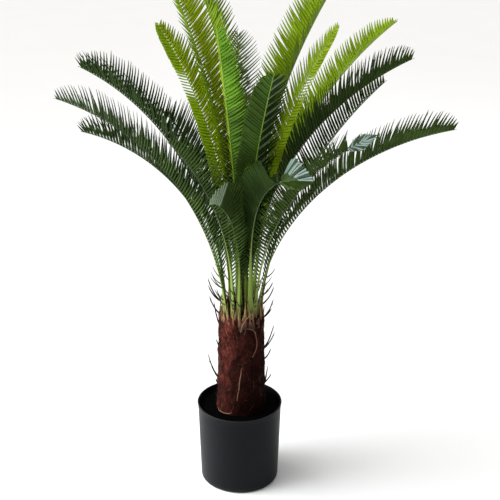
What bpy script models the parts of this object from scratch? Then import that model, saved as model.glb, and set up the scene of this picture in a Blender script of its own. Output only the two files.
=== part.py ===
"""Artificial sago palm standing in a round black plastic pot.

Metres, +Z up. The pot's flat underside is at z = 0 with the pot's axis on Z,
and the camera of the photograph looks along +Y. Azimuths are in degrees,
measured from +X towards +Y, so 180 is the left of the photograph and 270 its front.
"""
import math
from collections import namedtuple

import bpy
from mathutils import Vector
from mathutils.bvhtree import BVHTree

for old in list(bpy.data.objects):
    bpy.data.objects.remove(old, do_unlink=True)

# Driving sizes of the pot
POT_HEIGHT = 0.150
RIM_RADIUS = 0.075
RIM_DEPTH = 0.016
MOUTH_RADIUS = 0.0738
BASE_RADIUS = 0.0692
WALL = 0.0025
FLOOR_THICKNESS = 0.004
BASE_ROUNDING = 0.005
ROUND_STEPS = 40

GAP = 0.0003
FILL_TOP = 0.142

# Driving sizes of the trunk, which stands a little to the right of the pot's axis
TRUNK_X = 0.003
TRUNK_FOOT = FILL_TOP + GAP
TRUNK_STEPS = 32
FOOT_RADIUS = 0.0445
FLARE = 0.0015
SHOULDER_RADIUS = 0.0360
SHOULDER = 0.325
TERRACE_RISE = 0.008
COAT = 0.0018
SKIN = COAT + 0.0010

# Fronds stand on three terraces of the trunk's top: ring name, radius and height
RINGS = {
    "outer": (0.031, SHOULDER),
    "middle": (0.019, SHOULDER + TERRACE_RISE),
    "inner": (0.008, SHOULDER + 2 * TERRACE_RISE),
}

# Driving sizes of a frond
LEAFLET = 0.064
LEAFLET_TIP = 0.0006
TEETH = 22
BARE = 0.055
TOOTH_SHARE = 0.72
FAN_LOW = 68
FAN_HIGH = 60
FAN_FOOT = 36
PETIOLE_WIDTH = {"outer": 0.0088, "middle": 0.0068, "inner": 0.0058}
PETIOLE = 0.13
PETIOLE_THICKNESS = 0.0036
RACHIS_WIDTH = 0.0032
RACHIS_END_WIDTH = 0.0014
RACHIS_THICKNESS = 0.0026
RACHIS_END_THICKNESS = 0.0010
RIB_SAMPLES = 160
SPINE = 0.024
SPINE_HEIGHTS = (0.020, 0.031, 0.042)
SPINE_FOOT = 0.006
CLEARANCE = 0.0004

# Lean and tip_lean are degrees from upright at the foot and at the tip, reached by
# the power bend of the share of length, while the heading turns by sweep. Reach and
# fold are pairs for the left and right leaflets: their length, and how far they
# stand up. Taper, a pair too, is how late they shorten before the tip. A twisted frond
# rolls by angle at its waist, and its leaflets beyond have their own reach and fan.
Frond = namedtuple("Frond", "name ring foot heading length lean tip_lean bend sweep"
                   " reach fold taper twist tone")
Twist = namedtuple("Twist", "angle waist reach fan")

FRONDS = (
    Frond("frond_left_low", "outer", 202, 190, 0.428, 2, 80, 1.29, -18,
          (0.9, 0.9), (58, 48), (16, 16), None, "dark"),
    Frond("frond_left_middle", "outer", 221, 181, 0.497, 7, 69, 1.23, 13,
          (0.8, 0.85), (44, 52), (12, 12), None, "dark"),
    Frond("frond_left_high", "outer", 161, 149, 0.518, -1, 72, 1.03, 8,
          (1.0, 1.0), (64, 45), (16, 16), None, "dark"),
    Frond("frond_right_low", "outer", 342, 353, 0.492, -1, 77, 0.8, -5,
          (0.85, 0.8), (50, 55), (16, 16), None, "dark"),
    Frond("frond_right_middle", "outer", 4, 34, 0.458, 6, 53, 0.8, -14,
          (0.9, 0.5), (50, 45), (12, 12), None, "dark"),
    Frond("frond_right_high", "middle", 13, 15.3, 0.529, -6, 65.3, 0.9, -16,
          (0.85, 0.9), (50, 64), (16, 16), None, "dark"),
    Frond("frond_front_left", "outer", 239, 215, 0.36, -4, 44, 1.0, 0,
          (0.9, 0.9), (40, 45), (12, 12), None, "dark"),
    Frond("frond_front_right", "outer", 320, 328, 0.41, 0, 60, 1.0, 0,
          (0.8, 0.8), (40, 40), (12, 12), Twist(70, 0.91, 0.34, 55), "dark"),
    Frond("frond_front_arch", "outer", 258, 225, 0.278, -4, 86, 2.32, 20,
          (1.0, 0.8), (65, 85), (7, 3), None, "dark"),
    Frond("frond_front_twisted", "outer", 299, 270, 0.339, -1.8, 79.7, 1.96, 38.8,
          (0.45, 0.85), (60, 60), (12, 12), Twist(80, 0.9, 0.8, 60), "dark"),
    Frond("frond_back_right", "outer", 50, 60, 0.43, 3, 80, 1.0, 0,
          (1.0, 1.0), (50, 50), (12, 12), None, "dark"),
    Frond("frond_back", "outer", 85, 92, 0.45, 3, 82, 1.0, 0,
          (1.0, 1.0), (50, 50), (12, 12), None, "dark"),
    Frond("frond_back_left", "outer", 122, 118, 0.42, 3, 84, 1.0, 0,
          (1.0, 1.0), (50, 50), (12, 12), None, "dark"),
    Frond("frond_heart_front", "middle", 300, 303, 0.444, -6, 30, 0.89, -14,
          (0.75, 0.55), (15, 30), (12, 12), None, "dark"),
    Frond("frond_heart_back", "inner", 80, 100, 0.456, 0, 12, 1.0, 0,
          (0.9, 0.9), (45, 45), (12, 12), None, "dark"),
    Frond("frond_heart_left", "middle", 267, 209, 0.488, 0, 10, 0.8, 16,
          (0.62, 0.3), (25, 25), (12, 12), None, "light"),
    Frond("frond_young_left_low", "middle", 158, 151, 0.502, -2, 32, 1.15, 30,
          (0.33, 1.05), (-35, 50), (25, 5), None, "light"),
    Frond("frond_young_left_middle", "inner", 155, 150, 0.57, 0, 30, 1.2, 0,
          (0.6, 1.05), (15, 50), (12, 12), None, "light"),
    Frond("frond_young_left_high", "inner", 212, 172, 0.549, 0.5, 24, 2.7, -5,
          (0.95, 0.85), (45, 50), (12, 12), None, "light"),
    Frond("frond_young_right_high", "inner", 350, 25, 0.58, 1, 37, 1.2, 0,
          (0.95, 0.95), (55, 45), (12, 12), None, "light"),
    Frond("frond_young_right_middle", "middle", 335, 10, 0.513, -4, 31.4, 0.81, -35,
          (0.85, 0.34), (50, -35), (6, 25), None, "light"),
    Frond("frond_young_right_low", "middle", 59, 36, 0.569, 7, 60.8, 1.02, -7,
          (0.7, 0.7), (50, 50), (12, 12), None, "light"),
)

# Stray fibres of each coir band: azimuth in degrees and length
HOOKS_LOW = ((188, 0.055), (200, 0.028), (352, 0.016), (8, 0.026), (250, 0.020), (100, 0.030))
HOOKS_MIDDLE = ((356, 0.053), (8, 0.030), (172, 0.022), (300, 0.026), (60, 0.034), (120, 0.024))
HOOKS_HIGH = ((186, 0.040), (172, 0.028), (358, 0.042), (346, 0.026), (278, 0.024), (90, 0.036))

palm = bpy.data.collections.new("sago_palm")
bpy.context.scene.collection.children.link(palm)
stand = bpy.data.objects.new("stand_point", None)
palm.objects.link(stand)


def make_material(name, color, roughness):
    """A plain Principled material."""
    material = bpy.data.materials.new(name)
    material.use_nodes = True
    shader = material.node_tree.nodes["Principled BSDF"]
    shader.inputs["Base Color"].default_value = (*color, 1.0)
    shader.inputs["Roughness"].default_value = roughness
    shader.inputs["Metallic"].default_value = 0.0
    return material


def add_object(name, vertices, edges, faces, material, smooth=False):
    """A named mesh object in the palm's collection, parented to the stand point."""
    mesh = bpy.data.meshes.new(name)
    mesh.from_pydata(vertices, edges, faces)
    mesh.materials.append(material)
    mesh.shade_smooth() if smooth else mesh.shade_flat()
    obj = bpy.data.objects.new(name, mesh)
    obj.parent = stand
    palm.objects.link(obj)
    return obj


def add_turned(name, profile, steps, material):
    """A solid of revolution about the object's own Z axis.

    The profile is a list of (radius, height) that runs out from the axis at the
    top, down the outer side and back to the axis at the bottom.
    """
    vertices = [(radius, 0.0, height) for radius, height in profile]
    edges = [(i, i + 1) for i in range(len(profile) - 1)]
    obj = add_object(name, vertices, edges, [], material)
    screw = obj.modifiers.new("Turn", "SCREW")
    screw.axis = "Z"
    screw.steps = steps
    screw.render_steps = steps
    screw.use_merge_vertices = True
    screw.merge_threshold = 0.00005
    screw.use_smooth_shade = True
    return obj


def arc(centre, radius, start, end, segments):
    """Points of a circular arc in the profile plane, angles in degrees."""
    points = []
    for i in range(segments + 1):
        angle = math.radians(start + (end - start) * i / segments)
        points.append((centre[0] + radius * math.cos(angle), centre[1] + radius * math.sin(angle)))
    return points


def wall_radius(height):
    """Outer radius of the pot's wall below its rim."""
    return BASE_RADIUS + (MOUTH_RADIUS - BASE_RADIUS) * height / POT_HEIGHT


def build_pot():
    """Thin tapering cup that flares softly at its mouth, with a rounded foot."""
    lip = 0.0012
    inner_floor = wall_radius(FLOOR_THICKNESS) - WALL
    inner_mouth = MOUTH_RADIUS - WALL
    profile = [(0.0, FLOOR_THICKNESS), (inner_floor, FLOOR_THICKNESS)]
    profile += [(inner_mouth, POT_HEIGHT - lip), (inner_mouth + lip, POT_HEIGHT)]
    profile += arc((RIM_RADIUS - lip, POT_HEIGHT - lip), lip, 90, 0, 2)
    for share in (0.3, 0.65, 1.0):
        height = POT_HEIGHT - RIM_DEPTH * share
        flare = (RIM_RADIUS - wall_radius(height)) * (1.0 - share) ** 2
        profile.append((wall_radius(height) + flare, height))
    foot = (wall_radius(0.0) - BASE_ROUNDING, BASE_ROUNDING)
    profile += arc(foot, BASE_ROUNDING, 0, -90, 4)
    profile += [(0.0, 0.0)]
    material = make_material("pot_plastic", (0.030, 0.033, 0.034), 0.55)
    return add_turned("pot", profile, ROUND_STEPS, material)


def build_fill():
    """Weighted plug that fills the pot to just below its rim."""
    bottom = FLOOR_THICKNESS + GAP
    top_radius = wall_radius(FILL_TOP) - WALL - 0.0006
    bottom_radius = wall_radius(bottom) - WALL - 0.0006
    profile = [(0.0, FILL_TOP), (top_radius, FILL_TOP), (bottom_radius, bottom), (0.0, bottom)]
    material = make_material("pot_fill", (0.012, 0.012, 0.011), 0.95)
    return add_turned("pot_fill", profile, ROUND_STEPS, material)


def trunk_radius(height):
    """Outer radius of the wrapped trunk: a straight taper with a slight foot flare."""
    share = (height - TRUNK_FOOT) / (SHOULDER - TRUNK_FOOT)
    flare = FLARE * max(0.0, 1.0 - share * 6.0) ** 2
    return FOOT_RADIUS - FLARE + flare + (SHOULDER_RADIUS + SKIN - FOOT_RADIUS + FLARE) * share


def build_trunk():
    """Core of the trunk, with a terraced top that the fronds stand on."""
    inner_edge = 0.5 * (RINGS["inner"][0] + RINGS["middle"][0]) - 0.0005
    middle_edge = 0.5 * (RINGS["middle"][0] + RINGS["outer"][0]) + 0.0005
    profile = [(0.0, RINGS["inner"][1]), (inner_edge, RINGS["inner"][1])]
    profile += [(inner_edge, RINGS["middle"][1]), (middle_edge, RINGS["middle"][1])]
    profile += [(middle_edge, SHOULDER), (SHOULDER_RADIUS, SHOULDER)]
    for share in (0.5, 0.12, 0.0):
        height = TRUNK_FOOT + (SHOULDER - TRUNK_FOOT) * share
        profile.append((trunk_radius(height) - SKIN, height))
    profile.append((0.0, TRUNK_FOOT))
    material = make_material("trunk_core", (0.070, 0.030, 0.018), 0.9)
    trunk = add_turned("trunk", profile, TRUNK_STEPS, material)
    trunk.location = (TRUNK_X, 0.0, 0.0)
    return trunk


def solidify(obj, thickness, group=None):
    """Gives an open surface its thickness, half on either side."""
    shell = obj.modifiers.new("Thickness", "SOLIDIFY")
    shell.thickness = thickness
    shell.offset = 0.0
    shell.use_even_offset = True
    shell.use_rim = True
    if group:
        shell.vertex_group = group
        shell.thickness_vertex_group = 0.0
    return shell


def around(azimuth, radius, height):
    """A point at an azimuth and radius about the trunk's own axis."""
    angle = math.radians(azimuth)
    return Vector((radius * math.cos(angle), radius * math.sin(angle), height))


def build_coir_band(name, bottom, top, hooks, material):
    """Sleeve of coir matting with a ragged top edge and stray fibres that curl out."""
    columns = 24
    half_foot = 1.4
    middle = COAT / 2
    turns = [i * 360.0 / columns for i in range(columns)]
    for azimuth, _ in hooks:
        turns = [turn for turn in turns if abs((turn - azimuth + 180) % 360 - 180) > 5.0]
        turns += [azimuth - half_foot, azimuth + half_foot]
    turns = sorted(turn % 360 for turn in turns)
    vertices, faces = [], []
    notches = [azimuth % 360 for azimuth, _ in hooks]
    for index, turn in enumerate(turns):
        ragged = 0.0010 * math.sin(index * 2.3)
        notched = any(abs((turn - notch + 180) % 360 - 180) < 2.0 for notch in notches)
        edge = top - 0.0035 if notched else top - 0.0012 + ragged
        vertices.append(around(turn, trunk_radius(bottom) - middle, bottom))
        vertices.append(around(turn, trunk_radius(top) - middle, edge))
    count = len(turns)
    for i in range(count):
        j = (i + 1) % count
        faces.append((2 * i, 2 * j, 2 * j + 1, 2 * i + 1))
    weights = [1.0] * len(vertices)
    for azimuth, length in hooks:
        left = turns.index((azimuth - half_foot) % 360) * 2 + 1
        right = turns.index((azimuth + half_foot) % 360) * 2 + 1
        foot = (vertices[left] + vertices[right]) / 2
        side = (vertices[right] - vertices[left]) / 2
        outward = around(azimuth, 1.0, 0.0)
        spot = foot.copy()
        segments = 3
        for step in range(1, segments + 1):
            rise = math.radians(35 + 15 * step)
            spot += (outward * math.cos(rise) + Vector((0, 0, math.sin(rise)))) * length / segments
            if step < segments:
                narrow = 1.0 - 0.3 * step
                vertices += [spot - side * narrow, spot + side * narrow]
                weights += [0.8 - 0.15 * step] * 2
                new = len(vertices) - 2
                faces.append((left, right, new + 1, new))
                left, right = new, new + 1
            else:
                vertices.append(spot.copy())
                weights.append(0.3)
                faces.append((left, right, len(vertices) - 1))
    band = add_object(name, vertices, [], faces, material)
    group = band.vertex_groups.new(name="coat")
    for index, weight in enumerate(weights):
        group.add([index], weight, "REPLACE")
    solidify(band, COAT, "coat")
    band.location = (TRUNK_X, 0.0, 0.0)
    return band


def build_leaf_scales(bottom, material):
    """Collar of pointed brown scales round the feet of the outer fronds."""
    scales = 20
    foot = bottom
    top = SHOULDER - 0.003
    middle = COAT / 2
    vertices, faces = [], []
    for i in range(2 * scales):
        turn = i * 180.0 / scales
        vertices.append(around(turn, trunk_radius(foot) - middle, foot))
        vertices.append(around(turn, trunk_radius(top) - middle, top))
    count = 2 * scales
    for i in range(count):
        j = (i + 1) % count
        faces.append((2 * i, 2 * j, 2 * j + 1, 2 * i + 1))
    for i in range(scales):
        height = top + 0.016 + 0.006 * math.sin(i * 2.1)
        turn = (2 * i + 0.5) * 180.0 / scales
        vertices.append(around(turn, trunk_radius(top) + 0.0030, height))
        faces.append((4 * i + 1, 4 * i + 3, len(vertices) - 1))
    collar = add_object("leaf_scales", vertices, [], faces, material)
    solidify(collar, COAT * 0.7)
    collar.location = (TRUNK_X, 0.0, 0.0)
    return collar


def rib_frames(frond, shares):
    """Position, direction and leaf-side normal of the rib at rising shares of its length."""
    radius, height = RINGS[frond.ring]
    spot = around(frond.foot, radius, height + GAP) + Vector((TRUNK_X, 0.0, 0.0))
    wanted = list(shares)
    frames = []
    for step in range(RIB_SAMPLES + 1):
        share = step / RIB_SAMPLES
        lean = math.radians(frond.lean + (frond.tip_lean - frond.lean) * share ** frond.bend)
        heading = math.radians(frond.heading + frond.sweep * share)
        level = Vector((math.cos(heading), math.sin(heading), 0.0))
        upright = Vector((0.0, 0.0, 1.0))
        along = level * math.sin(lean) + upright * math.cos(lean)
        normal = upright * math.sin(lean) - level * math.cos(lean)
        across = along.cross(normal)
        if frond.twist:
            turn = min(1.0, max(0.0, (share - frond.twist.waist + 0.08) / 0.12))
            roll = math.radians(frond.twist.angle * turn * turn * (3.0 - 2.0 * turn))
            normal, across = (normal * math.cos(roll) + across * math.sin(roll),
                              across * math.cos(roll) - normal * math.sin(roll))
        while wanted and wanted[0] <= share + 0.5 / RIB_SAMPLES:
            lag = (wanted.pop(0) - share) * frond.length
            frames.append((spot + along * lag, along, normal, across))
        spot = spot + along * frond.length / RIB_SAMPLES
    return frames


def blade_share(frond, share):
    """How far along the leafy part of the rib this is, from 0 above the petiole to 1."""
    bare = BARE / frond.length
    return (share - bare) / (1.0 - bare)


def is_twisted(frond, share):
    """True beyond the waist of a twisted frond."""
    return frond.twist is not None and share > frond.twist.waist


def rib_section(frond, share):
    """Width and thickness of the rib: a broad petiole that narrows to a fine rachis."""
    slim = 1.0 - min(1.0, share * frond.length / PETIOLE)
    width = RACHIS_WIDTH + (RACHIS_END_WIDTH - RACHIS_WIDTH) * share
    thickness = RACHIS_THICKNESS + (RACHIS_END_THICKNESS - RACHIS_THICKNESS) * share
    width += (PETIOLE_WIDTH[frond.ring] - RACHIS_WIDTH) * slim
    thickness += (PETIOLE_THICKNESS - RACHIS_THICKNESS) * slim
    return width, thickness


def leaflet_length(frond, half, share):
    """Leaflets start short above the petiole and shorten again to a rounded end at the tip."""
    blade = blade_share(frond, share)
    swell = 0.08 + 0.92 * math.sin(math.pi / 2 * min(1.0, max(0.0, blade / 0.42)))
    if frond.twist:
        beyond = is_twisted(frond, share)
        waist = max(0.0, 1.0 - abs(share - frond.twist.waist) / (0.02 if beyond else 0.07))
        reach = frond.twist.reach if beyond else frond.reach[half]
        return LEAFLET * reach * swell * (1.0 - 0.8 * waist)
    close = max(0.0, 1.0 - blade ** frond.taper[half])
    return LEAFLET * frond.reach[half] * swell * (0.12 + 0.88 * close)


def leaflet_direction(frond, frame, share, side, half):
    """Leaflets fan forward along the rib and rise from it in a V."""
    _, along, normal, across = frame
    blade = blade_share(frond, share)
    fan = FAN_LOW + (FAN_HIGH - FAN_LOW) * blade - 6.0 * max(0.0, (blade - 0.88) / 0.12)
    fan -= (FAN_LOW - FAN_FOOT) * max(0.0, 1.0 - blade / 0.24)
    fold = frond.fold[half]
    if is_twisted(frond, share):
        beyond = (share - frond.twist.waist) / (1.0 - frond.twist.waist)
        fan, fold = frond.twist.fan * (1.0 - 0.85 * beyond), 8
    rise, fan = math.radians(fold), math.radians(fan)
    outward = across * side * math.cos(rise) + normal * math.sin(rise)
    return along * math.cos(fan) + outward * math.sin(fan)


def spine_direction(frame, side):
    """Spines of the petiole point away from the trunk's axis and upwards."""
    _, along, normal, across = frame
    return (along * 0.72 - normal * 0.64 + across * side * 0.27).normalized()


def frond_stations(frond):
    """Shares of length where the rib has a station, and where teeth and spines stand."""
    shares, teeth = [0.0], {}
    if frond.ring == "outer":
        for height in SPINE_HEIGHTS:
            teeth[len(shares)] = "spine"
            shares += [height / frond.length, (height + SPINE_FOOT) / frond.length]
    bare = BARE / frond.length
    pitch = (0.99 - bare) / TEETH
    for i in range(TEETH):
        start = bare + pitch * i
        teeth[len(shares)] = "leaflet"
        shares += [start, start + pitch * TOOTH_SHARE]
    shares.append(1.0)
    return shares, teeth


def rib_outline(frond, shares):
    """Left and right edge points of the rib at each station, with thickness and frames."""
    frames = rib_frames(frond, shares)
    edges, depths = [], []
    for share, (spot, _, _, across) in zip(shares, frames):
        width, thickness = rib_section(frond, share)
        edges.append((spot - across * width / 2, spot + across * width / 2))
        depths.append(thickness)
    return frames, edges, depths


def tooth_is_clear(foot_a, foot_b, tip, depth, ribs, blades):
    """True where the tooth keeps its distance from the ribs and teeth of other fronds."""
    rows = max(6, int((tip - foot_a).length / 0.0025))
    for row in range(1, rows + 1):
        rise = row / rows
        half = (depth * (1.0 - rise) + LEAFLET_TIP * rise) / 2
        for column in (0.0, 0.5, 1.0):
            foot = foot_a.lerp(foot_b, column)
            spot = foot.lerp(tip, rise)
            if ribs.find_nearest(spot)[3] < half + 0.0021 + CLEARANCE:
                return False
            if blades and blades.find_nearest(spot)[3] < half + 0.0011 + CLEARANCE:
                return False
    return True


def build_frond(frond, ribs, blades, material):
    """Ribbon-shaped rib with pointed teeth that stand for its leaflets."""
    shares, teeth = frond_stations(frond)
    frames, edges, depths = rib_outline(frond, shares)
    vertices = [point for pair in edges for point in pair]
    thickness = [depth for depth in depths for _ in range(2)]
    faces, blade_faces = [], []
    for i in range(len(shares) - 1):
        faces.append((2 * i, 2 * i + 1, 2 * i + 3, 2 * i + 2))
    for i, kind in teeth.items():
        middle = (shares[i] + shares[i + 1]) / 2
        for side, offset in ((-1, 0), (1, 1)):
            low, high = 2 * i + offset, 2 * i + 2 + offset
            foot = (vertices[low] + vertices[high]) / 2
            if kind == "spine":
                direction, reach = spine_direction(frames[i], side), SPINE
            else:
                direction = leaflet_direction(frond, frames[i], middle, side, offset)
                reach = leaflet_length(frond, offset, middle)
            for trim in (1.0, 0.8, 0.6, 0.4):
                tip = foot + direction * reach * trim
                if tooth_is_clear(vertices[low], vertices[high], tip, depths[i], ribs, blades):
                    vertices.append(tip)
                    thickness.append(LEAFLET_TIP)
                    top = len(vertices) - 1
                    tooth = (low, high, top) if side < 0 else (low, top, high)
                    faces.append(tooth)
                    blade_faces.append(tooth)
                    break
    blade = add_object(frond.name, vertices, [], faces, material)
    group = blade.vertex_groups.new(name="thickness")
    for index, depth in enumerate(thickness):
        group.add([index], depth / PETIOLE_THICKNESS, "REPLACE")
    solidify(blade, PETIOLE_THICKNESS, "thickness")
    return vertices, blade_faces


def build_crown():
    """All fronds, each kept clear of the ribs of all others and of the teeth before it."""
    dark = make_material("frond_dark", (0.035, 0.060, 0.018), 0.45)
    light = make_material("frond_light", (0.190, 0.330, 0.040), 0.45)
    outlines = {}
    for frond in FRONDS:
        shares, _ = frond_stations(frond)
        outlines[frond.name] = rib_outline(frond, shares)[1]
    all_blades = []
    for frond in FRONDS:
        rib_points, rib_faces = [], []
        for name, edges in outlines.items():
            if name == frond.name:
                continue
            start = len(rib_points)
            rib_points += [point for pair in edges for point in pair]
            for i in range(len(edges) - 1):
                a = start + 2 * i
                rib_faces.append((a, a + 1, a + 3, a + 2))
        ribs = BVHTree.FromPolygons(rib_points, rib_faces)
        blade_points, blade_faces = [], []
        for points, faces in all_blades:
            start = len(blade_points)
            blade_points += points
            blade_faces += [tuple(start + i for i in face) for face in faces]
        blades = BVHTree.FromPolygons(blade_points, blade_faces) if blade_faces else None
        material = dark if frond.tone == "dark" else light
        all_blades.append(build_frond(frond, ribs, blades, material))


build_pot()
build_fill()
build_trunk()
coir = make_material("coir", (0.095, 0.042, 0.026), 0.95)
build_coir_band("coir_band_low", TRUNK_FOOT + GAP, 0.192, HOOKS_LOW, coir)
build_coir_band("coir_band_middle", 0.1925, 0.252, HOOKS_MIDDLE, coir)
build_coir_band("coir_band_high", 0.2525, 0.300, HOOKS_HIGH, coir)
build_leaf_scales(0.3005, make_material("scale_fibre", (0.200, 0.110, 0.050), 0.9))
build_crown()
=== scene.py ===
import math
import random
from collections import namedtuple

import bpy
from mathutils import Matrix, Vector, noise


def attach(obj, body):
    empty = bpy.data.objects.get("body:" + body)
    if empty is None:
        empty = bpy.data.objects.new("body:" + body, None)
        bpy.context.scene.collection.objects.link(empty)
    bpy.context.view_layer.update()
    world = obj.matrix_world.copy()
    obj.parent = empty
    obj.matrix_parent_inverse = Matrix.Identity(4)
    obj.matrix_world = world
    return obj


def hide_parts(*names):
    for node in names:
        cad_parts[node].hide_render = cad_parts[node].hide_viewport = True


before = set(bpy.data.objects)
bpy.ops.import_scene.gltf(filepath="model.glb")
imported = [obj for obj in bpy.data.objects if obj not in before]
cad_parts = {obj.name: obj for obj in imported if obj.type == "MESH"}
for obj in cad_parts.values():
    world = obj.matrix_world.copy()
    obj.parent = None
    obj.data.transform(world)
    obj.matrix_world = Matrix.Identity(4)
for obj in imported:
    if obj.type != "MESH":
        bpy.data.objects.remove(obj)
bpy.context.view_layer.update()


# The viewpoint: a 75 mm lens about 1.6 m in front of the pot and a little over its crown,
# tilted down. The small sideways shift puts the pot slightly left of the picture's middle.
TILT_DOWN = 21.8

lens = bpy.data.cameras.new("viewpoint")
lens.lens = 75
lens.sensor_width = 36
lens.shift_x = 0.0208
lens.clip_end = 100
viewpoint = bpy.data.objects.new("viewpoint", lens)
viewpoint.location = (0.0, -1.626, 1.089)
viewpoint.rotation_euler = (math.radians(90 - TILT_DOWN), 0.0, 0.0)
bpy.context.scene.collection.objects.link(viewpoint)
bpy.context.scene.camera = viewpoint
bpy.context.scene.view_settings.view_transform = "Standard"


# The room: a matt white floor, faintly mottled in colour and gloss, that ends far out of view.
# It only stages the plant, so it isn't a piece of it.
FLOOR_RADIUS = 25
FLOOR_SIDES = 64


class Tap:
    """One output of a shader node. Sums on it add Math nodes, so 1 - mask works."""

    def __init__(self, tree, socket):
        self.tree = tree
        self.socket = socket

    def node(self, kind, settings, sockets, out=0):
        """Adds a node of a type: its settings first, then its sockets' values or links."""
        made = self.tree.nodes.new("ShaderNode" + kind)
        for key, value in settings.items():
            setattr(made, key, value)
        for key, value in sockets.items():
            if isinstance(value, Tap):
                self.tree.links.new(value.socket, made.inputs[key])
            else:
                made.inputs[key].default_value = value
        return Tap(self.tree, made.outputs[out])

    def math(self, operation, *terms):
        return self.node("Math", {"operation": operation}, dict(enumerate(terms)))

    def __add__(self, other):
        return self.math("ADD", self, other)

    def __radd__(self, other):
        return self.math("ADD", other, self)

    def __sub__(self, other):
        return self.math("SUBTRACT", self, other)

    def __rsub__(self, other):
        return self.math("SUBTRACT", other, self)

    def __mul__(self, other):
        return self.math("MULTIPLY", self, other)

    def __rmul__(self, other):
        return self.math("MULTIPLY", other, self)

    def positive(self):
        """This value, or 0 where it is below 0."""
        return self.math("MAXIMUM", self, 0.0)

    def axis(self, name):
        """One axis of these coordinates, X, Y or Z."""
        return self.node("SeparateXYZ", {}, {0: self}, name)

    def stretched(self, scale):
        """The same coordinates, scaled apart on each axis."""
        return self.node("VectorMath", {"operation": "MULTIPLY"}, {0: self, 1: scale})

    def spots(self, scale, detail=2.0, roughness=0.5, distortion=0.0):
        """Soft noise from 0 to 1 over these coordinates."""
        sockets = {"Vector": self, "Scale": scale, "Detail": detail}
        sockets |= {"Roughness": roughness, "Distortion": distortion}
        return self.node("TexNoise", {}, sockets)

    def ramp(self, low, high):
        """Rises smoothly from 0 at low to 1 at high."""
        settings = {"interpolation_type": "SMOOTHSTEP"}
        return self.node("MapRange", settings, {"Value": self, "From Min": low, "From Max": high})

    def between(self, first, second):
        """The colour that lies this share of the way from the first to the second."""
        colors = [c if isinstance(c, Tap) else (*c, 1.0) for c in (first, second)]
        settings = {"data_type": "RGBA"}
        return self.node("Mix", settings, {0: self, 6: colors[0], 7: colors[1]}, 2)

    def bump(self, strength, depth):
        """A surface normal from this height, which is in shares of depth."""
        return self.node("Bump", {}, {"Height": self, "Strength": strength, "Distance": depth})


def new_finish(name):
    """A new material, with its place in the part as coordinates and its main shader."""
    material = bpy.data.materials.new(name)
    material.use_nodes = True
    tree = material.node_tree
    place = Tap(tree, None).node("TexCoord", {}, {}, "Object")
    return material, place, tree.nodes["Principled BSDF"]


def dress(material, place, shader, varied, gloss):
    """Sets a finish's gloss and links what varies over its surface."""
    shader.inputs["Specular IOR Level"].default_value = gloss
    for key, value in varied.items():
        place.tree.links.new(value.socket, shader.inputs[key])
    return material


def add_piece(name, points, faces, materials, tints=None, smooth=True):
    """A mesh object in the scene. Tints gives each face's material by its number."""
    mesh = bpy.data.meshes.new(name)
    mesh.from_pydata(points, [], faces)
    for material in materials:
        mesh.materials.append(material)
    if tints:
        mesh.polygons.foreach_set("material_index", tints)
    mesh.polygons.foreach_set("use_smooth", [smooth] * len(faces))
    mesh.update()
    piece = bpy.data.objects.new(name, mesh)
    bpy.context.scene.collection.objects.link(piece)
    return piece


def ring_points(radius, height, sides):
    """A level ring of points round the upright axis of the pot."""
    turns = [math.tau * i / sides for i in range(sides)]
    return [Vector((radius * math.cos(a), radius * math.sin(a), height)) for a in turns]


def floor_finish():
    """Matt white paint."""
    material, place, shader = new_finish("pale_floor")
    mottle = place.spots(3.0, 3.0)
    varied = {
        "Base Color": mottle.between((0.88, 0.88, 0.88), (0.91, 0.91, 0.91)),
        "Roughness": 0.6 + place.spots(9.0) * 0.2,
    }
    return dress(material, place, shader, varied, 0.2)


rim = ring_points(FLOOR_RADIUS, 0.0, FLOOR_SIDES)
floor = add_piece("floor", rim, [tuple(range(FLOOR_SIDES))], [floor_finish()], smooth=False)


# The light: a wide soft sun from the left, as through a large window, in a pale room that is
# brightest on that side and overhead. A cool panel behind gives the leaves sheen, and two low
# ones at the left light the trunk, the pot's side and the floor beside it.
LIGHT_AHEAD = 0.13
LIGHT_LEFT = 0.75
LIGHT_OVERHEAD = 0.44
BACKDROP = 0.97
WARM_WHITE = (1.0, 0.99, 0.97)

sky = bpy.data.worlds.new("room_light")
sky.use_nodes = True
room = Tap(sky.node_tree, None)
way = room.node("TexCoord", {}, {}, "Generated")
leftward = way.axis("X") * -0.95 + way.axis("Y") * 0.05 + 0.10
overhead = way.axis("Z").positive()
light = LIGHT_AHEAD + leftward.positive() * LIGHT_LEFT + overhead * LIGHT_OVERHEAD
seen = room.node("LightPath", {}, {}, "Is Camera Ray")
strength = light * (1.0 - seen) + seen * BACKDROP
backing = sky.node_tree.nodes["Background"]
backing.inputs["Color"].default_value = (*WARM_WHITE, 1.0)
sky.node_tree.links.new(strength.socket, backing.inputs["Strength"])
bpy.context.scene.world = sky


def add_lamp(name, kind, place, target, power, color, **settings):
    """A lamp at a place that points at a target."""
    lamp = bpy.data.lights.new(name, kind)
    lamp.energy = power
    lamp.color = color
    for key, value in settings.items():
        setattr(lamp, key, value)
    holder = bpy.data.objects.new(name, lamp)
    holder.location = place
    holder.rotation_euler = (Vector(target) - Vector(place)).to_track_quat("-Z", "Y").to_euler()
    bpy.context.scene.collection.objects.link(holder)


add_lamp("window_sun", "SUN", (-2.5, -0.12, 2.3), (0.0, 0.0, 0.0), 2.2, WARM_WHITE,
         angle=math.radians(66))
add_lamp("sheen_panel", "AREA", (0.9, 1.9, 2.3), (0.0, 0.0, 0.6), 10.0, (0.86, 0.94, 1.0),
         size=1.6)
add_lamp("side_panel", "AREA", (-1.8, -0.35, 0.55), (0.0, 0.0, 0.2), 22.0, (0.95, 0.98, 1.0),
         size=1.2)
add_lamp("floor_glow", "AREA", (-0.95, -0.10, 0.45), (-0.30, -0.02, 0.0), 2.6, (0.93, 0.97, 1.0),
         size=0.8, spread=math.radians(70))


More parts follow.
